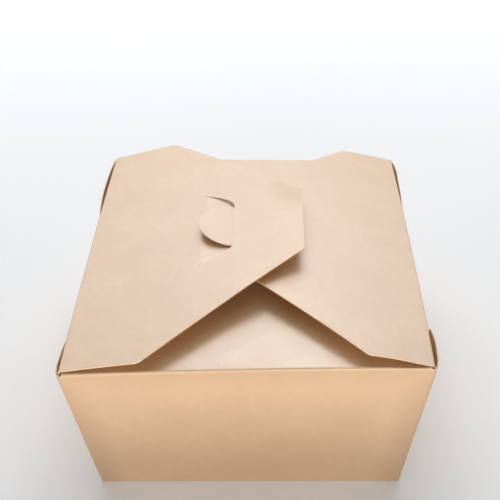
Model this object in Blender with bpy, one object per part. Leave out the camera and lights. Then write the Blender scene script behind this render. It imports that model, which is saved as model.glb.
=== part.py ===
"""A kraft-board takeaway carton, folded up and closed.

One die-cut sheet makes the whole carton: a flat base, four flared walls, a folded web at each
corner, two end flaps that fold in first, and two long flaps that lock over them. The right flap
ends in a round tongue that passes up through a slit in the left flap and lies on top of it.

Frame: metres, +Z up, origin on the floor under the middle of the base. The long walls face -X and
+X, the short end walls face -Y and +Y, and the slotted flap is hinged along the long wall at -X.
"""

import math

import bmesh
import bpy
from mathutils import Vector

# Carton sizes, over the outside of the board
TOP_WIDTH = 0.1400
TOP_LENGTH = 0.1710
BASE_WIDTH = 0.1200
BASE_LENGTH = 0.1520
HEIGHT = 0.0635
BOARD = 0.00045

# Creases and corner webs
CORNER_RADIUS = 0.0015
CREASE_RADIUS = 0.0006
BASE_CHAMFER = 0.0003
HINGE_GAP = 0.00045
INNER_FOLD_GAP = 0.0003
WEB_START = 0.0026
WEB_GAP = 0.00015
WEB_SWING = 0.0056
OUTER_PLY_CURL = 1.8
INNER_PLY_CURL = 2.6
WEB_DROP = 0.0012
WEB_END_DROP = 0.0103
INNER_PLY_HOLLOW = 0.0040
END_CREASE_DROP = 0.0005

# Slotted flap, measured along the board from its crease
SLOTTED_LENGTH = 0.0927
SLOTTED_SHOULDER = 0.0306
SLOTTED_SPREAD = 0.0029
SLOTTED_EDGE = 0.0522
SLOTTED_RISE = math.radians(13.0)
SLOTTED_BOW = math.radians(6.8)

# Tongue flap, measured along the board from its crease
TONGUE_FLAP_SHOULDER = 0.0241
TONGUE_FLAP_EDGE = 0.0680
TONGUE_FLAP_BOW = math.radians(12.0)
SHOULDER_RADIUS = 0.0040
TIP_RADIUS = 0.0010

# Lock: the slit in the one flap, with a tail at each end, and the tongue of the other
SLIT_FROM_CREASE = 0.0627
SLIT_LENGTH = 0.0325
SLIT_WIDTH = 0.0003
TAIL_BACK = 0.0125
TAIL_OUT = 0.0117
LOCK_GAP = 0.0003
TONGUE_WIDTH = 0.0320
TONGUE_LENGTH = 0.0149
TONGUE_NECK = 0.0030
TONGUE_LIFT = math.radians(7.5)

# End flaps
END_FLAP_LENGTH = 0.0620
END_FLAP_SIDE_GAP = 0.0008
END_FLAP_TAPER = 0.0060
END_FLAP_RADIUS = 0.0120

# How finely round stretches are divided
CORNER_STEPS = 5
TURN_STEPS = 8
PLY_STEPS = 6
CREASE_STEPS = 6
BOW_STEPS = 24
FILLET_STEPS = 6
TONGUE_STEPS = 14
TAIL_STEPS = 8
SMOOTH_BELOW = math.radians(32)

CUT_OVERRUN = 0.0010

KRAFT = (0.72, 0.55, 0.36, 1.0)
KRAFT_LIT = (0.78, 0.64, 0.48, 1.0)
KRAFT_ROUGHNESS = 0.85


def blend(start, end, share):
    return start + (end - start) * share


def heading(angle):
    return Vector((math.cos(angle), math.sin(angle)))


# Walls and corner webs


def half_sizes(share):
    """Half width and half length, to the middle of the outermost ply, at a share of the height."""
    width = blend(BASE_WIDTH, TOP_WIDTH, share)
    length = blend(BASE_LENGTH, TOP_LENGTH, share)
    return (width - BOARD) / 2, (length - BOARD) / 2


def web_reach():
    """How far a corner web runs along the long wall at the rim.

    Its own crease bisects a web, so the crease leans in from the wall's side edge by half of the
    angle that the creases at the base corner leave over.
    """
    out_side = (TOP_WIDTH - BASE_WIDTH) / 2
    out_end = (TOP_LENGTH - BASE_LENGTH) / 2
    slant = math.hypot(HEIGHT, out_side)
    lean_side = math.atan(out_end / slant)
    lean_end = math.atan(out_side / math.hypot(HEIGHT, out_end))
    half_web = (math.pi / 2 - lean_side - lean_end) / 2
    return slant * (math.tan(half_web - lean_side) + math.tan(lean_side))


def web_pitch():
    """Distance from a web's outer ply to its inner ply, and from there to the long wall's corner."""
    return BOARD + WEB_GAP


def long_wall_offset(share):
    """Distance from the carton's middle to the middle of a long wall's board."""
    return half_sizes(share)[0] - 2 * web_pitch()


def inner_fold_inset():
    """How far the fold between a web and its long wall stays clear of the end wall's middle."""
    return BOARD + INNER_FOLD_GAP


def long_crease_half():
    """Half the length of a long wall's straight top edge, which its flap's crease runs along."""
    return half_sizes(1)[1] - inner_fold_inset() - web_pitch() / 2


def end_crease_half(share=1):
    """Half the length of an end flap's crease, which clears the long walls inside the carton.

    Lower down, it is where that crease's end comes, as far in from the end wall's side edge.
    """
    inset = 2 * web_pitch() + BOARD / 2 + END_FLAP_SIDE_GAP
    return half_sizes(share)[0] - inset


def arc(centre, radius, start, end, steps, facing=1):
    """Points round an arc, each with the board's outward normal; facing -1 turns it inwards."""
    turns = [heading(blend(start, end, i / steps)) for i in range(steps + 1)]
    return [(centre + turn * radius, turn * facing) for turn in turns]


def ply_shares():
    """Shares of the way from a web's corner to its end, at the points between the two."""
    return [i / PLY_STEPS for i in range(1, PLY_STEPS)]


def ply(root, tip, swing, bow):
    """Points of a web's ply between its root and its tip, with normals, bowed out from the wall.

    bow gives the share of the swing, and its slope, at a share of the way from root to tip.
    """
    normal = Vector((math.copysign(1, root[1].x), 0))
    points = []
    for along in ply_shares():
        out, slope = [swing * value for value in bow(along)]
        flat = root[0].lerp(tip[0], along)
        turned = normal + Vector((0, slope * normal.x / (tip[0].y - root[0].y)))
        points.append((flat - Vector((out, 0)), turned.normalized()))
    return points


def outer_bow(along):
    """The outer ply leaves the corner at once and runs along the wall again at its tip."""
    left = 1 - along
    return 1 - left**OUTER_PLY_CURL, OUTER_PLY_CURL * left ** (OUTER_PLY_CURL - 1)


def inner_bow(along):
    """The inner ply follows the wall first, and then springs away to meet the outer one."""
    return along**INNER_PLY_CURL, INNER_PLY_CURL * along ** (INNER_PLY_CURL - 1)


def corner_plan(share):
    """The middle of the board round the front left corner, from above, each point with its normal.

    It runs from the end wall round the corner into the outer ply of the web, back along the inner
    ply, and out again as the long wall. The web's end stands out from the long wall.
    """
    x, y = half_sizes(share)
    pitch, turn = web_pitch(), web_pitch() / 2
    reach = blend(WEB_START, web_reach(), share)
    swing = WEB_SWING * (reach - CORNER_RADIUS) / (web_reach() - CORNER_RADIUS)
    end_wall = [(Vector((-end_crease_half(share), -y)), heading(-math.pi / 2))]
    round_corner = arc(
        Vector((CORNER_RADIUS - x, CORNER_RADIUS - y)),
        CORNER_RADIUS, -math.pi / 2, -math.pi, CORNER_STEPS,
    )
    far_turn = arc(Vector((turn - x, reach - turn - y)), turn, math.pi, 0, TURN_STEPS)
    near_centre = Vector((pitch + turn - x, inner_fold_inset() + turn - y))
    near_turn = arc(near_centre, turn, math.pi, 2 * math.pi, TURN_STEPS, facing=-1)
    outer_ply = ply(round_corner[-1], far_turn[0], swing, outer_bow)
    inner_ply = ply(near_turn[0], far_turn[-1], swing, inner_bow)
    far_turn = [(point - Vector((swing, 0)), normal) for point, normal in far_turn]
    return end_wall + round_corner + outer_ply + far_turn + inner_ply[::-1] + near_turn


def rim_shares(long_wall_top):
    """The share of the height that each point of corner_plan reaches.

    A web's free edge falls away from the corner to the fold at its end, and the inner ply's is
    hollowed out, clear of the flap above it.
    """
    corner, end = HEIGHT - WEB_DROP, HEIGHT - WEB_END_DROP
    outer = [blend(corner, end, along) for along in ply_shares()]
    hollow = [4 * INNER_PLY_HOLLOW * along * (1 - along) for along in ply_shares()]
    inner = [height - dip for height, dip in zip(outer, hollow)]
    heights = [end_wall_top()] * 2 + [corner] * CORNER_STEPS + outer
    heights += [end] * (TURN_STEPS + 1) + inner[::-1]
    heights += [corner] * TURN_STEPS + [long_wall_top]
    return [height / HEIGHT for height in heights]


def closed_ring(left_shares, right_shares, offset):
    """One loop round the carton through all four corners, this far outside the board's middle."""
    loop = []
    for flip_x, flip_y in ((1, 1), (1, -1), (-1, -1), (-1, 1)):
        corner = []
        for i, share in enumerate(left_shares if flip_x > 0 else right_shares):
            middle, outward = corner_plan(share)[i]
            flat = middle + outward * offset
            corner.append(Vector((flat.x * flip_x, flat.y * flip_y, share * HEIGHT)))
        loop += corner if flip_x == flip_y else reversed(corner)
    return loop


# Flap profiles: a flap seen from its end, as a plane of distance inwards and height


class Profile:
    """Straight and bent runs of board, one after another."""

    def __init__(self, start, runs):
        """start is where the first run begins; a run is its length, first slope and last slope."""
        self.start = start
        self.runs = runs

    def at(self, distance):
        """The middle of the board at this distance along it, and the board's slope there."""
        place = self.start.copy()
        final = len(self.runs) - 1
        for i, (length, first, last) in enumerate(self.runs):
            part = distance if i == final else min(distance, length)
            slope = blend(first, last, part / length)
            half_turn = (slope - first) / 2
            shortening = math.sin(half_turn) / half_turn if half_turn else 1
            place += heading(first + half_turn) * part * shortening
            distance -= part
            if distance <= 0:
                break
        return place, slope


def wall_slope(top, base):
    """Slope of a flared wall going up, where a flap that points straight in has slope 0."""
    return math.pi / 2 + math.atan((top - base) / 2 / HEIGHT)


def end_wall_slope():
    return wall_slope(TOP_LENGTH, BASE_LENGTH)


def long_wall_slope():
    return wall_slope(TOP_WIDTH, BASE_WIDTH)


def crease_setback(wall, flap):
    """How far from the corner of wall and flap their round crease starts and ends."""
    return CREASE_RADIUS * math.tan((wall - flap) / 2)


def crease_run(wall, flap):
    return CREASE_RADIUS * (wall - flap), wall, flap


def end_wall_top():
    """Height at which an end wall turns into its crease."""
    setback = crease_setback(end_wall_slope(), 0)
    return HEIGHT - END_CREASE_DROP - setback * math.sin(end_wall_slope())


def slotted_profile():
    """The left flap from its crease: it rises towards the middle and bows slightly."""
    return Profile(Vector((0, 0)), [(SLOTTED_LENGTH, SLOTTED_RISE, SLOTTED_RISE - SLOTTED_BOW)])


def neck_place():
    """Where the middle of the tongue's board passes the slit, from the right flap's crease."""
    inward, height = slotted_profile().at(SLIT_FROM_CREASE)[0]
    return Vector((2 * long_wall_offset(1) - inward, height - BOARD - LOCK_GAP))


def tongue_flap_slope():
    """Slope of the right flap at its crease, such that its bow ends at the neck."""
    chord = neck_place()
    return math.atan2(chord.y, chord.x) + TONGUE_FLAP_BOW / 2


def tongue_flap_profile():
    """The right flap from the wall that carries it to the tip of its tongue."""
    half_bow = TONGUE_FLAP_BOW / 2
    first = tongue_flap_slope()
    last = first - TONGUE_FLAP_BOW
    length = neck_place().length * half_bow / math.sin(half_bow)
    setback = crease_setback(long_wall_slope(), first)
    tongue_slope = last + TONGUE_LIFT
    runs = [
        crease_run(long_wall_slope(), first),
        (length - setback, blend(first, last, setback / length), last),
        (BOARD, last, tongue_slope),
        (TONGUE_LENGTH, tongue_slope, tongue_slope),
    ]
    return Profile(heading(long_wall_slope()) * -setback, runs)


def end_flap_profile():
    """An end flap, which lies level under the long flaps."""
    setback = crease_setback(end_wall_slope(), 0)
    runs = [crease_run(end_wall_slope(), 0), (END_FLAP_LENGTH - setback, 0, 0)]
    return Profile(heading(end_wall_slope()) * -setback, runs)


# Flap outlines: half widths (y) at distances along the board (x)


def fillet(corner, before, after, radius):
    """Points of a round corner between the outline's points before and after it."""
    to_before = (before - corner).normalized()
    to_after = (after - corner).normalized()
    half = to_before.angle(to_after) / 2
    centre = corner + (to_before + to_after).normalized() * radius / math.sin(half)
    start = corner + to_before * radius / math.tan(half) - centre
    end = corner + to_after * radius / math.tan(half) - centre
    first = math.atan2(start.y, start.x)
    turn = math.remainder(math.atan2(end.y, end.x) - first, 2 * math.pi)
    steps = range(FILLET_STEPS + 1)
    return [centre + heading(first + turn * i / FILLET_STEPS) * radius for i in steps]


def half_outline(corners, radii):
    """A half outline from the crease to the free edge, with its inner corners rounded."""
    points = [corners[0]]
    for i, radius in enumerate(radii, start=1):
        points += fillet(corners[i], corners[i - 1], corners[i + 1], radius)
    return points


def slotted_outline():
    root = long_crease_half()
    corners = [
        Vector((HINGE_GAP, root)),
        Vector((SLOTTED_SHOULDER, root + SLOTTED_SPREAD)),
        Vector((SLOTTED_LENGTH, SLOTTED_EDGE / 2)),
        Vector((SLOTTED_LENGTH, 0)),
    ]
    return half_outline(corners, [SHOULDER_RADIUS, TIP_RADIUS])


def neck_distance(profile):
    """Distance along the right flap, from the wall, at which its tongue passes the slit."""
    return profile.runs[0][0] + profile.runs[1][0]


def tongue_flap_outline(profile):
    """The right flap up to its free edge, which stays hidden under the slotted flap."""
    root = long_crease_half()
    crease = profile.runs[0][0]
    free_edge = neck_distance(profile) - TONGUE_NECK
    corners = [
        Vector((crease, root)),
        Vector((crease + TONGUE_FLAP_SHOULDER, root)),
        Vector((free_edge, TONGUE_FLAP_EDGE / 2)),
        Vector((free_edge, 0)),
    ]
    return half_outline(corners, [SHOULDER_RADIUS, TIP_RADIUS])


def tongue_outline(profile):
    """The tongue from the flap's free edge to its round tip."""
    neck = neck_distance(profile)
    half = TONGUE_WIDTH / 2
    points = [Vector((neck - TONGUE_NECK, half))]
    for i in range(TONGUE_STEPS):
        ray = heading(math.pi / 2 * i / TONGUE_STEPS)
        points.append(Vector((neck + TONGUE_LENGTH * ray.y, half * ray.x)))
    return points


def end_flap_outline(profile):
    crease = profile.runs[0][0]
    end = crease + profile.runs[1][0]
    root = end_crease_half()
    corners = [
        Vector((crease, root)),
        Vector((end, root - END_FLAP_TAPER)),
        Vector((end, 0)),
    ]
    return half_outline(corners, [END_FLAP_RADIUS])


def with_rows(outline, levels):
    """The outline with one more point at each level that has none near it."""
    points = list(outline)
    for level in levels:
        for i in range(len(points) - 1):
            before, after = points[i], points[i + 1]
            if before.x + BOARD < level < after.x - BOARD:
                share = (level - before.x) / (after.x - before.x)
                points.insert(i + 1, before.lerp(after, share))
                break
    return points


def even_levels(start, end):
    return [blend(start, end, i / BOW_STEPS) for i in range(1, BOW_STEPS)]


# Solids


def bend_onto(profile, inward):
    """A function that lays flat board along a profile that runs inwards from the origin."""
    across = inward.cross(Vector((0, 0, 1)))

    def place(along, sideways, out):
        middle, slope = profile.at(along)
        point = middle + heading(slope + math.pi / 2) * out
        return inward * point.x + across * sideways + Vector((0, 0, point.y))

    return place


class Flap:
    """Builds a flap's two faces and its cut edges row by row, starting from a wall if it has one."""

    def __init__(self, mesh, place, root=None):
        """place turns distances along, across and out of the board into a point."""
        self.mesh = mesh
        self.place = place
        self.last = root

    def corners(self, row):
        """A row's corners: left and right on the outer face, then right and left on the inner."""
        half = BOARD / 2
        spots = ((-row.y, half), (row.y, half), (row.y, -half), (-row.y, -half))
        return [self.mesh.verts.new(self.place(row.x, across, out)) for across, out in spots]

    def extend(self, row):
        """Carries the flap on to the next row."""
        new = self.corners(row)
        if self.last is None:
            self.mesh.faces.new(reversed(new))
        else:
            for i in range(4):
                j = (i + 1) % 4
                self.mesh.faces.new((self.last[i], self.last[j], new[j], new[i]))
        self.last = new

    def step_in(self, row, slim_row):
        """Ends the flap's full width at row and carries on with a slimmer piece from there."""
        old, wide, slim = self.last, self.corners(row), self.corners(slim_row)
        for i, j in ((0, 1), (2, 3)):
            self.mesh.faces.new((old[i], old[j], wide[j], slim[j], slim[i], wide[i]))
        for i, j in ((1, 2), (3, 0)):
            self.mesh.faces.new((old[i], old[j], wide[j], wide[i]))
            self.mesh.faces.new((wide[i], wide[j], slim[j], slim[i]))
        self.last = slim

    def close(self):
        self.mesh.faces.new(self.last)


def add_wall_flap(mesh, root, crease, inward, profile, outline, tongue=()):
    """Adds a flap that carries on from the top edge of its wall, round the crease."""
    bend = bend_onto(profile, inward)
    flap = Flap(mesh, lambda *spot: crease + bend(*spot), root)
    for i in range(1, CREASE_STEPS):
        flap.extend(Vector((outline[0].x * i / CREASE_STEPS, outline[0].y)))
    for row in outline[:-1]:
        flap.extend(row)
    if tongue:
        flap.step_in(outline[-1], tongue[0])
        for row in tongue[1:]:
            flap.extend(row)
    else:
        flap.extend(outline[-1])
    flap.close()


def add_end_flap(mesh, root, inward):
    profile = end_flap_profile()
    crease = inward * -half_sizes(1)[1] + Vector((0, 0, HEIGHT - END_CREASE_DROP))
    add_wall_flap(mesh, root, crease, inward, profile, end_flap_outline(profile))


def add_tongue_flap(mesh, root):
    profile = tongue_flap_profile()
    crease = Vector((long_wall_offset(1), 0, HEIGHT))
    free_edge = neck_distance(profile) - TONGUE_NECK
    rows = with_rows(tongue_flap_outline(profile), even_levels(profile.runs[0][0], free_edge))
    add_wall_flap(mesh, root, crease, Vector((-1, 0, 0)), profile, rows, tongue_outline(profile))


def carton_mesh():
    """The folded sheet without its slotted flap: base, walls, webs, end flaps and tongue flap."""
    mesh = bmesh.new()
    left_top = HEIGHT - HINGE_GAP * math.sin(long_wall_slope())
    setback = crease_setback(long_wall_slope(), tongue_flap_slope())
    right_top = HEIGHT - setback * math.sin(long_wall_slope())
    left, right = rim_shares(left_top), rim_shares(right_top)
    count = len(left)

    def level_ring(height, offset):
        shares = [height / HEIGHT] * count
        return closed_ring(shares, shares, offset)

    rings = [
        level_ring(0, BOARD / 2 - BASE_CHAMFER),
        level_ring(BASE_CHAMFER, BOARD / 2),
        closed_ring(left, right, BOARD / 2),
        closed_ring(left, right, -BOARD / 2),
        level_ring(BOARD, -BOARD / 2),
    ]
    bottom, chamfer, outer, inner, floor = [[mesh.verts.new(p) for p in loop] for loop in rings]
    back, right_side, front = 2 * count - 1, 3 * count - 1, 4 * count - 1
    roots = {}
    for i in range(4 * count):
        j = (i + 1) % (4 * count)
        for low, high in ((bottom, chamfer), (chamfer, outer), (inner, floor)):
            mesh.faces.new((low[j], low[i], high[i], high[j]))
        rim = (outer[j], outer[i], inner[i], inner[j])
        if i in (back, right_side, front):
            roots[i] = rim
        else:
            mesh.faces.new(rim)
    mesh.faces.new(bottom)
    mesh.faces.new(reversed(floor))
    add_end_flap(mesh, roots[front], Vector((0, 1, 0)))
    add_end_flap(mesh, roots[back], Vector((0, -1, 0)))
    add_tongue_flap(mesh, roots[right_side])
    return mesh


# Slotted flap: cut flat, as the sheet is, and bent afterwards


def slit_distance(across):
    """Distance of the slit from the crease: straight in the middle, its tails curving back."""
    beyond = max(0, abs(across) - SLIT_LENGTH / 2) / TAIL_OUT
    return SLIT_FROM_CREASE - TAIL_BACK * beyond**2


def tab_drop(along, across):
    """How far the slit's tab is pressed down, under the tongue, at a place on the flap."""
    root = SLIT_FROM_CREASE - TAIL_BACK
    inside = abs(across) < SLIT_LENGTH / 2 + TAIL_OUT and root < along < slit_distance(across)
    return 2 * (BOARD + LOCK_GAP) * (along - root) / TAIL_BACK if inside else 0


def slit_cutter():
    """A thin upright ribbon along the slit, from tail to tail."""
    half, reach = SLIT_LENGTH / 2, TAIL_OUT + SLIT_WIDTH
    tail = [half + reach * i / TAIL_STEPS for i in range(TAIL_STEPS + 1)]
    stations = [-across for across in reversed(tail)] + tail
    mesh = bmesh.new()
    last = None
    for across in stations:
        beyond = math.copysign(max(0, abs(across) - half), across) / TAIL_OUT
        lean = 2 * TAIL_BACK * beyond / TAIL_OUT
        sideways = Vector((1, lean, 0)).normalized() * SLIT_WIDTH / 2
        middle = Vector((slit_distance(across), across, 0))
        up = Vector((0, 0, BOARD / 2 + CUT_OVERRUN))
        spots = (middle - sideways + up, middle + sideways + up,
                 middle + sideways - up, middle - sideways - up)
        new = [mesh.verts.new(spot) for spot in spots]
        if last is None:
            mesh.faces.new(reversed(new))
        else:
            for i in range(4):
                j = (i + 1) % 4
                mesh.faces.new((last[i], last[j], new[j], new[i]))
        last = new
    mesh.faces.new(last)
    bmesh.ops.recalc_face_normals(mesh, faces=mesh.faces)
    return mesh


def flat_slotted_flap():
    """The flap's board lying flat, crease at the left, with rows where it bends."""
    mesh = bmesh.new()
    flap = Flap(mesh, lambda along, across, out: Vector((along, -across, out)))
    levels = even_levels(HINGE_GAP, SLOTTED_LENGTH) + [SLIT_FROM_CREASE - TAIL_BACK]
    for row in with_rows(slotted_outline(), levels):
        flap.extend(row)
    flap.close()
    return mesh


def slotted_flap_mesh():
    """Cuts the slit, presses its tab down and bends the board to its profile."""
    flap = add_object("flat_flap", flat_slotted_flap())
    cutter = add_object("slit_cutter", slit_cutter())
    cutter.hide_render = True
    cutter.display_type = "WIRE"
    cut = flap.modifiers.new("slit", "BOOLEAN")
    cut.object = cutter
    graph = bpy.context.evaluated_depsgraph_get()
    mesh = bmesh.new()
    mesh.from_object(flap, graph)
    for helper in (flap, cutter):
        bpy.data.objects.remove(helper)
    place = bend_onto(slotted_profile(), Vector((1, 0, 0)))
    for vertex in mesh.verts:
        along, across, out = vertex.co
        drop = tab_drop(along, across)
        vertex.co = place(along, -across, out - drop)
    return mesh


# Objects


def add_object(name, shape, colour=None):
    """Turns a bmesh into a smooth-shaded object, in its own kraft board if it has a colour."""
    mesh = bpy.data.meshes.new(name)
    shape.to_mesh(mesh)
    shape.free()
    mesh.shade_smooth()
    mesh.set_sharp_from_angle(angle=SMOOTH_BELOW)
    obj = bpy.data.objects.new(name, mesh)
    bpy.context.scene.collection.objects.link(obj)
    if colour:
        mesh.materials.append(board_material(name + "_board", colour))
    return obj


def board_material(name, colour):
    material = bpy.data.materials.new(name)
    material.use_nodes = True
    surface = material.node_tree.nodes["Principled BSDF"]
    surface.inputs["Base Color"].default_value = colour
    surface.inputs["Roughness"].default_value = KRAFT_ROUGHNESS
    surface.inputs["Metallic"].default_value = 0
    return material


def main():
    for obj in list(bpy.data.objects):
        bpy.data.objects.remove(obj)
    add_object("folded_carton", carton_mesh(), KRAFT)
    flap = add_object("slotted_flap", slotted_flap_mesh(), KRAFT_LIT)
    flap.location = (-long_wall_offset(1), 0, HEIGHT)


main()
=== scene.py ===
"""Looks of the kraft-board takeaway carton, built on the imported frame."""

import math

import bmesh
import bpy
import numpy as np
from mathutils import Matrix, Vector


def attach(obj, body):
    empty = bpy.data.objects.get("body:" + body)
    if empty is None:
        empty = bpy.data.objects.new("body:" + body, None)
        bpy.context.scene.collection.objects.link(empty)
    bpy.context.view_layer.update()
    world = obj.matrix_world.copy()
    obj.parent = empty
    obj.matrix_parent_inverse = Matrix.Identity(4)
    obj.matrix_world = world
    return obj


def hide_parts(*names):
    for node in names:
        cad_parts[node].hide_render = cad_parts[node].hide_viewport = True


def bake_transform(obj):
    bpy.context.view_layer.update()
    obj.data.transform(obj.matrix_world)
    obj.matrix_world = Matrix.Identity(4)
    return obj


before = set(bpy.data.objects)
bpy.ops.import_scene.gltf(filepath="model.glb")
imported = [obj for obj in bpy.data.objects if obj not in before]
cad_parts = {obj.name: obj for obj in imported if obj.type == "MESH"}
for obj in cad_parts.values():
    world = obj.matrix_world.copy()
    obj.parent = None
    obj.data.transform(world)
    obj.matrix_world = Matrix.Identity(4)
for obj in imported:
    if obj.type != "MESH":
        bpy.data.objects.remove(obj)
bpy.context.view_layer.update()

# Sizes in metres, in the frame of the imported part
HEIGHT = 0.0635
BASE_HALF_WIDTH = 0.0600
BASE_HALF_LENGTH = 0.0760
RIM_HALF_WIDTH = 0.0700
RIM_HALF_LENGTH = 0.0855
BOARD = 0.00045
CREASE_X = 0.068575
HINGE_GAP = 0.00045
WALL_TOP = 0.0630555
WALL_TOP_SLACK = 2e-5
SLOTTED_LENGTH = 0.0927
SLOTTED_RISE = math.radians(13.0)
SLOTTED_BOW = math.radians(6.8)
WALL_LEAN = math.atan((RIM_HALF_WIDTH - BASE_HALF_WIDTH) / HEIGHT)

# How the meshes are made ready for bending
WELD = 2e-6
LEVEL_WITHIN = math.radians(0.2)
SHARP_FROM = math.radians(32)
CELL = 0.0029
CELL_START_SHARE = 0.37
CUT_SLACK = 1e-6
EDGE_WIDTH = 0.0006

# Rows of faces in the crease band
BAND_STEPS = 8


# Meshes


def plain_mesh(node):
    """A node's mesh as a bmesh: welded, level faces merged, sharp edges marked."""
    shape = bmesh.new()
    shape.from_mesh(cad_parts[node].data)
    bmesh.ops.remove_doubles(shape, verts=shape.verts, dist=WELD)
    bmesh.ops.dissolve_limit(
        shape, angle_limit=LEVEL_WITHIN, verts=shape.verts, edges=shape.edges,
        use_dissolve_boundaries=False,
    )
    mark_sharp(shape)
    return shape


def mark_sharp(shape):
    shape.normal_update()
    for edge in shape.edges:
        edge.smooth = edge.calc_face_angle(math.pi) < SHARP_FROM
    for face in shape.faces:
        face.smooth = True


def mark_cut_edges(shape):
    """Gives the second material to the narrow faces where the sheet was cut."""
    for face in shape.faces:
        sides = sorted(face.edges, key=lambda e: e.calc_length())[-2:]
        longest = sides[-1].calc_length()
        narrow = face.calc_area() / longest < EDGE_WIDTH
        if narrow and not any(side.smooth for side in sides):
            face.material_index = 1


def divide(shape):
    """Cuts every face along a grid, so that the mesh can be bent smoothly."""
    low = Vector(min(v.co[i] for v in shape.verts) for i in range(3))
    high = Vector(max(v.co[i] for v in shape.verts) for i in range(3))
    for axis in range(3):
        normal = Vector(float(axis == i) for i in range(3))
        count = int((high[axis] - low[axis]) / CELL)
        for k in range(1, count + 1):
            place = normal * (low[axis] + (k - CELL_START_SHARE) * CELL)
            everything = shape.verts[:] + shape.edges[:] + shape.faces[:]
            bmesh.ops.bisect_plane(
                shape, geom=everything, dist=CUT_SLACK, plane_co=place, plane_no=normal
            )
    bmesh.ops.triangulate(shape, faces=[f for f in shape.faces if len(f.verts) > 4])


def add_crease_band(shape, rim):
    """Carries the slotted flap's board round its crease, down to the top edge of its wall."""
    root = min(shape.faces, key=lambda f: f.calc_center_median().x)
    ends = sorted(root.verts, key=lambda v: (v.co.y, v.co.z))
    bmesh.ops.delete(shape, geom=[root], context="FACES_ONLY")
    radius = HINGE_GAP / math.tan((math.pi / 2 + WALL_LEAN - SLOTTED_RISE) / 2)
    start = math.pi / 2 + WALL_LEAN
    wall = Vector((math.cos(start), math.sin(start)))
    outward = Vector((math.sin(start), -math.cos(start)))
    centre = wall * -HINGE_GAP + outward * radius
    last = ends
    y_low, y_high = ends[0].co.y, ends[-1].co.y
    for i in range(1, BAND_STEPS + 1):
        if i == BAND_STEPS:
            spots = rim
        else:
            angle = SLOTTED_RISE + (start - SLOTTED_RISE) * i / BAND_STEPS + math.pi / 2
            turn = Vector((math.cos(angle), math.sin(angle)))
            outer = centre + turn * (radius + BOARD / 2)
            inner = centre + turn * (radius - BOARD / 2)
            spots = [(inner, y_low), (outer, y_low), (inner, y_high), (outer, y_high)]
            spots = [Vector((p.x - CREASE_X, y, p.y + HEIGHT)) for p, y in spots]
        new = [shape.verts.new(spot) for spot in spots]
        for a, b in ((0, 1), (1, 3), (3, 2), (2, 0)):
            shape.faces.new((last[a], last[b], new[b], new[a]))
        last = new
    shape.faces.new([last[i] for i in (0, 1, 3, 2)])
    bmesh.ops.recalc_face_normals(shape, faces=shape.faces)
    mark_sharp(shape)


def wall_rim():
    """Corners of the slotted flap's wall at its top: inner and outer, front and back."""
    points = [v.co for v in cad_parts["folded_carton"].data.vertices]
    top = [p for p in points if abs(p.z - WALL_TOP) < WALL_TOP_SLACK and p.x < 0]
    front = sorted((p for p in top if p.y < 0), key=lambda p: p.x)
    back = sorted((p for p in top if p.y > 0), key=lambda p: p.x)
    return [front[-1], front[0], back[-1], back[0]]


# Bending the sheets: a folded sheet is never as true as its drawing


def smooth_step(values, low, high):
    t = np.clip((values - low) / (high - low), 0, 1)
    return t * t * (3 - 2 * t)


def arch(values, half):
    """1 in the middle, falling to 0 at half to both sides."""
    return np.clip(1 - (values / half) ** 2, 0, 1)


def waves(places, length, seed):
    """Smooth random values from -1 to 1 over the places, with swells of about this length."""
    rng = np.random.default_rng(seed)
    total = np.zeros(len(places))
    count = 9
    for _ in range(count):
        direction = rng.normal(size=3)
        direction /= np.linalg.norm(direction)
        pitch = length * rng.uniform(0.75, 1.4)
        total += np.cos(places @ direction * 2 * math.pi / pitch + rng.uniform(0, 2 * math.pi))
    return total / count * 1.6


RIM_TWIST = 0.001356
TWIST_LIMIT_SHARE = 1.3


def rim_twist(x, y, z):
    """The whole rim is wound up at its front right and back left corners."""
    rise = np.clip(z / HEIGHT, 0, TWIST_LIMIT_SHARE)
    return -RIM_TWIST * x * y / (RIM_HALF_WIDTH * RIM_HALF_LENGTH) * rise


CREASE_BULGE = 0.00055
BULGE_START_X, BULGE_FULL_X = 0.035, 0.064
WALL_FOOT = 0.004


def wall_belly(x, y, z):
    """The long walls belly out between their ends, most at the crease."""
    belly = arch(y, RIM_HALF_LENGTH) * smooth_step(np.abs(x), BULGE_START_X, BULGE_FULL_X)
    return np.sign(x) * CREASE_BULGE * belly * smooth_step(z, WALL_FOOT, HEIGHT)


WEB_SHARES = {(-1, -1): 0.62, (1, -1): 0.74, (-1, 1): 0.90, (1, 1): 0.55}
WEB_CLEARANCE = 0.0014
WEB_FADE_START, WEB_FADE_END = 0.002, 0.016


def web_setting(x, y, z):
    """Each web stands off its wall by its own share of what was drawn."""
    wall_x = BASE_HALF_WIDTH + (CREASE_X - BASE_HALF_WIDTH + WEB_CLEARANCE) * z / HEIGHT
    beyond = np.clip(np.abs(x) - wall_x, 0, None)
    along = smooth_step(RIM_HALF_LENGTH - np.abs(y), WEB_FADE_START, WEB_FADE_END)
    moved = np.zeros_like(x)
    for (side, end), share in WEB_SHARES.items():
        here = (np.sign(x) == side) & (np.sign(y) == end) & (z < HEIGHT)
        moved += np.where(here, side * beyond * (share - 1) * along, 0)
    return moved


FRONT_CROWN = 0.0008
CROWN_HALF_WIDTH = 0.068
CROWN_EDGE_X = 0.0675
CROWN_START_Y, CROWN_FULL_Y = 0.045, 0.083
CROWN_START_Z, CROWN_FULL_Z = 0.030, 0.062
CROWN_TOP = 0.0642


def front_crown(x, y, z):
    """The front rim is crowned, and the end flap follows it."""
    crown = arch(x, CROWN_HALF_WIDTH) * smooth_step(-y, CROWN_START_Y, CROWN_FULL_Y)
    near_rim = smooth_step(z, CROWN_START_Z, CROWN_FULL_Z) * (z < CROWN_TOP)
    return FRONT_CROWN * crown * near_rim * (np.abs(x) < CROWN_EDGE_X)


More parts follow.
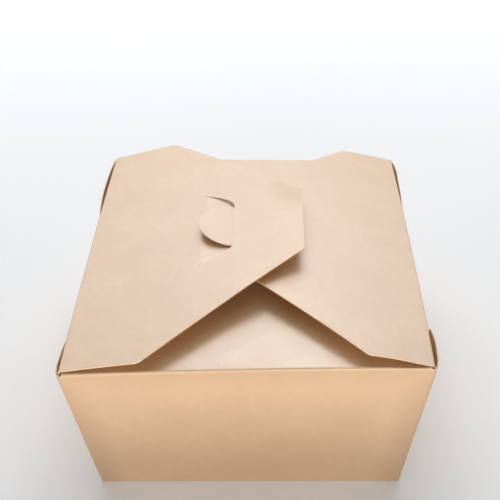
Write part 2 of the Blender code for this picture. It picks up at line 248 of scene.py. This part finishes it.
END_FLAP_SPRING = 0.0032
END_FLAP_ROOT_Y = -0.0846
SPRING_LENGTH = 0.038
END_FLAP_HALF_WIDTH = 0.0672
END_FLAP_LOW, END_FLAP_HIGH = 0.0622, 0.0636


def end_flap_spring(x, y, z):
    """The front end flap has sprung up towards the long flaps above it."""
    inward = np.clip((y - END_FLAP_ROOT_Y) / SPRING_LENGTH, 0, 1) * (y < 0)
    flap = (z > END_FLAP_LOW) * (z < END_FLAP_HIGH)
    return END_FLAP_SPRING * np.sin(inward * math.pi / 2) * arch(x, END_FLAP_HALF_WIDTH) * flap


ROOT_DIP = 0.0009
ROOT_DIP_PLACE = (0.0686, -0.0850)
ROOT_DIP_RADIUS = 0.011
ROOT_DIP_STRETCH_SHARE = 0.7
TONGUE_FLAP_INNER_X = 0.02
TONGUE_FLAP_LOW, TONGUE_FLAP_HIGH = 0.0627, 0.0635


def tongue_root_dip(x, y, z):
    """The tongue flap's front root corner has sunk."""
    reach = np.hypot(x - ROOT_DIP_PLACE[0], (y - ROOT_DIP_PLACE[1]) * ROOT_DIP_STRETCH_SHARE)
    over = smooth_step(z, TONGUE_FLAP_LOW, TONGUE_FLAP_HIGH) * (x > TONGUE_FLAP_INNER_X)
    return -ROOT_DIP * np.exp(-((reach / ROOT_DIP_RADIUS) ** 2)) * over


SLOTTED_SAG = 0.0006
SAG_START_Y, SAG_FULL_Y = 0.015, 0.060
SAG_LENGTH = 0.0917


def slotted_sag(x, y):
    """The slotted flap lies a little lower towards the front, but not at its root and free edge."""
    along = np.clip((x + CREASE_X) / SAG_LENGTH, 0, 1)
    lengthwise = smooth_step(along, 0, 0.5) * (1 - along**4)
    return -SLOTTED_SAG * smooth_step(-y, SAG_START_Y, SAG_FULL_Y) * lengthwise


SWELL = 0.00010
WALL_SWELL = 0.00015
SWELL_LENGTH = 0.052
SWELL_SEED = 7
FLAP_START_Z, FLAP_FULL_Z = 0.0640, 0.0680
WALL_START_Z, WALL_FULL_Z = 0.004, 0.030
WALL_FADE_Z, WALL_END_Z = 0.058, 0.0632
SIDE_START_X, SIDE_FULL_X = 0.050, 0.058
END_START_Y, END_FULL_Y = 0.064, 0.074


def swells(places):
    """Shallow waves in the long flaps and in the walls."""
    x, y, z = places.T
    wave = waves(places, SWELL_LENGTH, SWELL_SEED)
    wall = smooth_step(z, WALL_START_Z, WALL_FULL_Z) * (1 - smooth_step(z, WALL_FADE_Z, WALL_END_Z))
    across = WALL_SWELL * wave * wall * smooth_step(np.abs(x), SIDE_START_X, SIDE_FULL_X)
    along = WALL_SWELL * wave * wall * smooth_step(np.abs(y), END_START_Y, END_FULL_Y)
    up = SWELL * wave * smooth_step(z, FLAP_START_Z, FLAP_FULL_Z)
    return np.stack([across, along, up], axis=1)


def bend(places, lid):
    """Where the board really lies, for the slotted flap or for the rest of the sheet."""
    x, y, z = places.T
    moved = places + swells(places)
    moved[:, 0] += wall_belly(x, y, z) + web_setting(x, y, z)
    moved[:, 2] += rim_twist(x, y, z)
    if lid:
        moved[:, 2] += slotted_sag(x, y)
    else:
        moved[:, 2] += front_crown(x, y, z) + end_flap_spring(x, y, z) + tongue_root_dip(x, y, z)
    return moved


# The dog-ear's fold line, as distances along the slotted flap and across it
DOG_EAR_FROM = (0.0848, 0.0141)
DOG_EAR_TO = (0.0926, 0.0097)
DOG_EAR_TURN = math.radians(5.0)
DOG_EAR_SOFTNESS = 0.0012
DOG_EAR_START, DOG_EAR_FULL = 0.070, 0.086
PROFILE_STEPS = 200


def fold_dog_ear(places):
    """Bends down the slotted flap's far back corner, beyond a soft crease."""
    steps = np.linspace(0, SLOTTED_LENGTH, PROFILE_STEPS)
    slopes = SLOTTED_RISE - SLOTTED_BOW * steps / SLOTTED_LENGTH
    run = np.concatenate([[0], np.cumsum(np.cos(slopes[:-1])) * steps[1]])
    along = np.interp(places[:, 0] + CREASE_X, run, steps)
    a, b = np.array(DOG_EAR_FROM), np.array(DOG_EAR_TO)
    line = (b - a) / np.linalg.norm(b - a)
    normal = np.array([-line[1], line[0]])
    beyond = (along - a[0]) * normal[0] + (places[:, 1] - a[1]) * normal[1]
    depth = np.where(beyond > 0, np.sqrt(beyond**2 + DOG_EAR_SOFTNESS**2) - DOG_EAR_SOFTNESS, 0)
    depth *= smooth_step(along, DOG_EAR_START, DOG_EAR_FULL)
    moved = places.copy()
    moved[:, 2] -= depth * math.tan(DOG_EAR_TURN)
    return moved


def dress(name, shape, node, lid=False):
    """Turns a bmesh into a divided and bent piece that stands for its node."""
    divide(shape)
    mesh = bpy.data.meshes.new(name)
    shape.to_mesh(mesh)
    shape.free()
    places = np.zeros(len(mesh.vertices) * 3)
    mesh.vertices.foreach_get("co", places)
    places = places.reshape(-1, 3)
    rest = mesh.attributes.new("rest_place", "FLOAT_VECTOR", "POINT")
    rest.data.foreach_set("vector", places.astype(np.float32).ravel())
    moved = bend(fold_dog_ear(places) if lid else places, lid)
    mesh.vertices.foreach_set("co", moved.astype(np.float32).ravel())
    mesh.update()
    obj = bpy.data.objects.new(name, mesh)
    bpy.context.scene.collection.objects.link(obj)
    mesh.materials.append(board)
    mesh.materials.append(cut_edge)
    weighted = obj.modifiers.new("even_shading", "WEIGHTED_NORMAL")
    weighted.keep_sharp = True
    weighted.weight = 60
    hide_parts(node)
    return obj


# Materials


class Nodes:
    """Short names for building a shader."""

    def __init__(self, name):
        self.material = bpy.data.materials.new(name)
        self.material.use_nodes = True
        self.tree = self.material.node_tree
        self.surface = self.tree.nodes["Principled BSDF"]

    def add(self, kind, **settings):
        node = self.tree.nodes.new(kind)
        for key, value in settings.items():
            setattr(node, key, value)
        return node

    def join(self, source, target):
        self.tree.links.new(source, target)

    def feed(self, socket, value):
        """Sets a socket to a number or colour, or joins another socket to it."""
        if isinstance(value, (int, float, tuple)):
            socket.default_value = value
        else:
            self.join(value, socket)

    def place(self):
        return self.add("ShaderNodeAttribute", attribute_name="rest_place").outputs["Vector"]

    def split(self, vector):
        node = self.add("ShaderNodeSeparateXYZ")
        self.join(vector, node.inputs[0])
        return node.outputs

    def noise(self, place, length, detail=2.0, rough=0.5, stretch=(1, 1, 1)):
        """Noise from about 0 to 1 whose grains have this length in metres."""
        scaled = self.add("ShaderNodeVectorMath", operation="MULTIPLY")
        self.join(place, scaled.inputs[0])
        scaled.inputs[1].default_value = [s / length for s in stretch]
        noise = self.add("ShaderNodeTexNoise")
        noise.inputs["Scale"].default_value = 1.0
        noise.inputs["Detail"].default_value = detail
        noise.inputs["Roughness"].default_value = rough
        self.join(scaled.outputs[0], noise.inputs["Vector"])
        return noise.outputs["Fac"]

    def map(self, value, low, high, to_low, to_high, kind="LINEAR"):
        """Rescales a value, clamped to its new range."""
        node = self.add("ShaderNodeMapRange", interpolation_type=kind)
        self.join(value, node.inputs["Value"])
        for key, number in (("From Min", low), ("From Max", high), ("To Min", to_low), ("To Max", to_high)):
            node.inputs[key].default_value = number
        return node.outputs["Result"]

    def math(self, operation, *values):
        node = self.add("ShaderNodeMath", operation=operation)
        for socket, value in zip(node.inputs, values):
            self.feed(socket, value)
        return node.outputs[0]

    def mix(self, share, a, b):
        node = self.add("ShaderNodeMix", data_type="RGBA")
        self.feed(node.inputs["Factor"], share)
        self.feed(node.inputs["A"], a)
        self.feed(node.inputs["B"], b)
        return node.outputs["Result"]


KRAFT = (0.790, 0.505, 0.270, 1)
KRAFT_DEEP = (0.710, 0.430, 0.210, 1)
KRAFT_FIBRE = (0.74, 0.55, 0.41, 1)
KRAFT_FLECK = (0.42, 0.25, 0.14, 1)
# Colour of the painted shade at the upright edges, below the rim and on the rim's folds
KRAFT_SHADED = (0.50, 0.27, 0.115, 1)
EDGE_PALE = (0.78, 0.64, 0.52, 1)

# Lengths of the grains in metres
CLOUD = 0.022
MOTTLE = 0.0030
FIBRE = 0.0007
FLECK = 0.0011
SHINE_PATCH = 0.006
TOOTH = 0.0005
TOOTH_DEPTH = 0.00004

# Painted shade: its share at most, its reach in from an upright edge, and heights that it starts, is full
# and ends at
UPRIGHT_SHADE = 0.70
UPRIGHT_REACH = 0.013
UPRIGHT_FULL, UPRIGHT_END = 0.0612, 0.0628
RIM_SHADOW = 0.50
RIM_SHADOW_START, RIM_SHADOW_FULL, RIM_SHADOW_FADE, RIM_SHADOW_END = 0.0520, 0.0610, 0.0616, 0.0628
FOLD_SHADE = 0.38
FOLD_START, FOLD_FULL, FOLD_END = 0.0602, 0.0626, 0.0630
FOLD_DEPTH, FOLD_DEPTH_END = 0.0008, 0.0018


def painted_crease_shade(n, place):
    """How much painted shade darkens the board: near the upright edges, in a painted shadow band below the
    rim and on the rim's folds.
    """
    parts = n.split(place)
    x, y, height = (parts[axis] for axis in "XYZ")
    depths = []
    walls = ((x, BASE_HALF_WIDTH, RIM_HALF_WIDTH), (y, BASE_HALF_LENGTH, RIM_HALF_LENGTH))
    for across, base, rim in walls:
        wall = n.math("MULTIPLY_ADD", height, (rim - base) / HEIGHT, base)
        depths.append(n.math("SUBTRACT", wall, n.math("ABSOLUTE", across)))
    # painted shade: darker within its reach of the upright corners, fading out towards the rim
    upright = n.map(n.math("MAXIMUM", *depths), 0, UPRIGHT_REACH, 1, 0)
    upright = n.math("MULTIPLY", upright, n.map(height, UPRIGHT_FULL, UPRIGHT_END, UPRIGHT_SHADE, 0))
    # painted shadow: a darker band on the walls just below the rim, where the flaps' shadow falls
    shadow_band = n.map(height, RIM_SHADOW_START, RIM_SHADOW_FULL, 0, RIM_SHADOW)
    shadow_band = n.math("MULTIPLY", shadow_band, n.map(height, RIM_SHADOW_FADE, RIM_SHADOW_END, 1, 0))
    # painted shade on the rim's folds, close to the wall's plane
    fold = n.map(height, FOLD_START, FOLD_FULL, 0, 1)
    fold = n.math("MULTIPLY", fold, n.map(height, FOLD_FULL, FOLD_END, 1, 0))
    at_wall = n.map(n.math("MINIMUM", *depths), FOLD_DEPTH, FOLD_DEPTH_END, FOLD_SHADE, 0)
    return n.math("MAXIMUM", n.math("MAXIMUM", upright, shadow_band), n.math("MULTIPLY", fold, at_wall))


def board_material(name, pale_edges):
    """Kraft board: fibres, clouds and mottling, a few dark flecks, painted shade near the upright edges,
    below the rim and on its folds, a slight tooth and a soft shine.
    """
    n = Nodes(name)
    place = n.place()
    cloud = n.map(n.noise(place, CLOUD, detail=5, rough=0.55), 0.34, 0.66, 0, 1)
    colour = n.mix(n.math("MULTIPLY", cloud, 0.6), KRAFT, KRAFT_DEEP)
    mottle = n.noise(place, MOTTLE)
    colour = n.mix(n.map(mottle, 0.35, 0.65, 0, 0.34), colour, KRAFT_DEEP)
    fibres = n.noise(place, FIBRE, detail=3, rough=0.6, stretch=(1, 0.16, 1))
    colour = n.mix(n.map(fibres, 0.56, 0.72, 0, 0.40), colour, KRAFT_FIBRE)
    flecks = n.noise(place, FLECK, detail=1, rough=0.4, stretch=(0.7, 0.35, 0.7))
    colour = n.mix(n.map(flecks, 0.735, 0.78, 0, 0.16), colour, KRAFT_FLECK)
    if pale_edges:
        colour = n.mix(n.map(fibres, 0.2, 0.8, 0.75, 0.95), colour, EDGE_PALE)
    # Painted shade: the board is darkened and made rougher near the upright edges, in a band below the rim
    # and on the rim's folds
    painted_shade = painted_crease_shade(n, place)
    n.join(n.mix(painted_shade, colour, KRAFT_SHADED), n.surface.inputs["Base Color"])
    rough = n.map(n.noise(place, SHINE_PATCH), 0.3, 0.7, 0.34, 0.40)
    n.join(n.math("ADD", rough, n.math("MULTIPLY", painted_shade, 0.4)), n.surface.inputs["Roughness"])
    n.surface.inputs["Specular IOR Level"].default_value = 1.0
    n.surface.inputs["IOR"].default_value = 1.8
    tooth = n.math("MULTIPLY", n.noise(place, TOOTH), 0.4)
    bump = n.add("ShaderNodeBump")
    bump.inputs["Strength"].default_value = 0.25
    bump.inputs["Distance"].default_value = TOOTH_DEPTH
    n.join(n.math("ADD", tooth, n.math("MULTIPLY", fibres, 0.6)), bump.inputs["Height"])
    n.join(bump.outputs["Normal"], n.surface.inputs["Normal"])
    return n.material


# Stage

FLOOR = (0.935, 0.960, 0.985, 1)
BLACK = (0, 0, 0, 1)
WHITE = (1, 1, 1, 1)
FLOOR_HALF = 6.0
GLOW_FRONT, GLOW_BACK = 0.065, 0.085
GLOW_FRONT_Y, GLOW_BACK_Y = -0.1, 0.7
FAR_GLOW = 0.74
FAR_START, FAR_FULL = 0.62, 1.05


def floor_material():
    """Pale paper with a faint glow of its own. Far out the paper turns into a plain pale background."""
    n = Nodes("floor_paper")
    place = n.add("ShaderNodeTexCoord").outputs["Object"]
    away = n.add("ShaderNodeVectorMath", operation="LENGTH")
    n.join(place, away.inputs[0])
    far = n.map(away.outputs["Value"], FAR_START, FAR_FULL, 0, 1, kind="SMOOTHSTEP")
    near_glow = n.map(n.split(place)["Y"], GLOW_FRONT_Y, GLOW_BACK_Y, GLOW_FRONT, GLOW_BACK)
    glow = n.math("MULTIPLY_ADD", far, FAR_GLOW, near_glow)
    ray = n.add("ShaderNodeLightPath").outputs
    seen = n.math("MAXIMUM", ray["Is Camera Ray"], ray["Is Transmission Ray"])
    seen = n.math("MAXIMUM", seen, ray["Is Glossy Ray"])
    n.join(n.mix(far, FLOOR, BLACK), n.surface.inputs["Base Color"])
    n.join(n.math("MULTIPLY", glow, seen), n.surface.inputs["Emission Strength"])
    n.surface.inputs["Emission Color"].default_value = WHITE
    n.surface.inputs["Roughness"].default_value = 0.9
    n.surface.inputs["Specular IOR Level"].default_value = 0.1
    return n.material


def add_floor():
    """The floor, level with the carton's base."""
    shape = bmesh.new()
    bmesh.ops.create_grid(shape, x_segments=1, y_segments=1, size=FLOOR_HALF)
    mesh = bpy.data.meshes.new("floor")
    shape.to_mesh(mesh)
    shape.free()
    mesh.materials.append(floor_material())
    floor = bpy.data.objects.new("floor", mesh)
    bpy.context.scene.collection.objects.link(floor)


def add_lamp(name, target, azimuth, elevation, distance, size, radiance):
    """A soft area light; azimuth 0 is behind the carton, 90 at its right."""
    light = bpy.data.lights.new(name, "AREA")
    light.shape = "RECTANGLE"
    light.size, light.size_y = size
    light.energy = radiance * math.pi * size[0] * size[1]
    lamp = bpy.data.objects.new(name, light)
    bpy.context.scene.collection.objects.link(lamp)
    az, el = math.radians(azimuth), math.radians(elevation)
    away = Vector((math.sin(az) * math.cos(el), math.cos(az) * math.cos(el), math.sin(el)))
    lamp.location = Vector(target) + away * distance
    lamp.rotation_euler = (-away).to_track_quat("-Z", "Y").to_euler()
    return lamp


RIM_AIM = (0, 0, 0.06)
WALL_AIM = (0, 0, 0.04)

# Name, aim, azimuth and elevation in degrees, distance, size, radiance
LAMPS = (
    ("back_low", RIM_AIM, 0, 22, 1.3, (1.8, 0.4), 1.3),
    ("back_wide", RIM_AIM, 0, 34, 1.3, (2.4, 0.5), 1.8),
    ("back_centre", RIM_AIM, 0, 50, 1.3, (0.7, 0.4), 3.5),
    ("back_high", RIM_AIM, 0, 66, 1.3, (1.6, 0.9), 1.2),
    ("front_high", RIM_AIM, 183, 66, 1.4, (1.2, 0.6), 0.8),
    ("front_low", RIM_AIM, 183, 8, 1.4, (1.4, 0.3), 5.8),
    ("left_low", WALL_AIM, 268, 12, 1.4, (1.4, 0.3), 2.6),
    ("right_low", WALL_AIM, 92, 12, 1.4, (1.4, 0.3), 2.6),
)
CARD_PLACE = (0, -0.62, 0.012)
CARD_SIZE = (1.6, 0.7)
CARD_RADIANCE = 4.9
WORLD_STRENGTH = 0.02


def add_card():
    """A lit card that lies in front of the carton, facing up, and lights its front wall from below."""
    card = add_lamp("front_card", CARD_PLACE, 0, 90, 0, CARD_SIZE, CARD_RADIANCE)
    card.rotation_euler = (math.pi, 0, 0)
    card.visible_camera = False


# The camera's place in metres, its turns in degrees and its lens in millimetres
CAMERA_PLACE = (0.01313, -0.386894, 0.30011)
YAW, PITCH, ROLL = -1.9554, 31.5501, 1.4734
LENS, SENSOR = 75.69, 36
CAMERA_NEAR = 0.01


def add_camera():
    """The photograph's viewpoint."""
    yaw, pitch, roll = (math.radians(a) for a in (YAW, PITCH, ROLL))
    look = Vector((math.sin(yaw) * math.cos(pitch), math.cos(yaw) * math.cos(pitch), -math.sin(pitch)))
    right = Vector((math.cos(yaw), -math.sin(yaw), 0))
    down = look.cross(right)
    local_x = right * math.cos(roll) + down * math.sin(roll)
    local_y = right * math.sin(roll) - down * math.cos(roll)
    axes = Matrix((local_x, local_y, -look)).transposed()
    data = bpy.data.cameras.new("camera")
    data.sensor_width = SENSOR
    data.lens = LENS
    data.clip_start = CAMERA_NEAR
    camera = bpy.data.objects.new("camera", data)
    camera.matrix_world = Matrix.Translation(Vector(CAMERA_PLACE)) @ axes.to_4x4()
    bpy.context.scene.collection.objects.link(camera)
    bpy.context.scene.camera = camera


def add_world(strength):
    world = bpy.data.worlds.new("studio")
    world.use_nodes = True
    background = world.node_tree.nodes["Background"]
    background.inputs["Color"].default_value = WHITE
    background.inputs["Strength"].default_value = strength
    bpy.context.scene.world = world


# The two pieces

board = board_material("kraft_board", False)
cut_edge = board_material("kraft_cut_edge", True)

carton = plain_mesh("folded_carton")
mark_cut_edges(carton)
carton_sheet = dress("carton_sheet", carton, "folded_carton")
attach(carton_sheet, "carton")

lid = plain_mesh("slotted_flap")
add_crease_band(lid, wall_rim())
mark_cut_edges(lid)
lid_sheet = dress("lid_sheet", lid, "slotted_flap", lid=True)
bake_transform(lid_sheet)

add_floor()
add_world(WORLD_STRENGTH)
for lamp_settings in LAMPS:
    add_lamp(*lamp_settings)
add_card()
add_camera()

bpy.context.scene.view_settings.view_transform = "Standard"
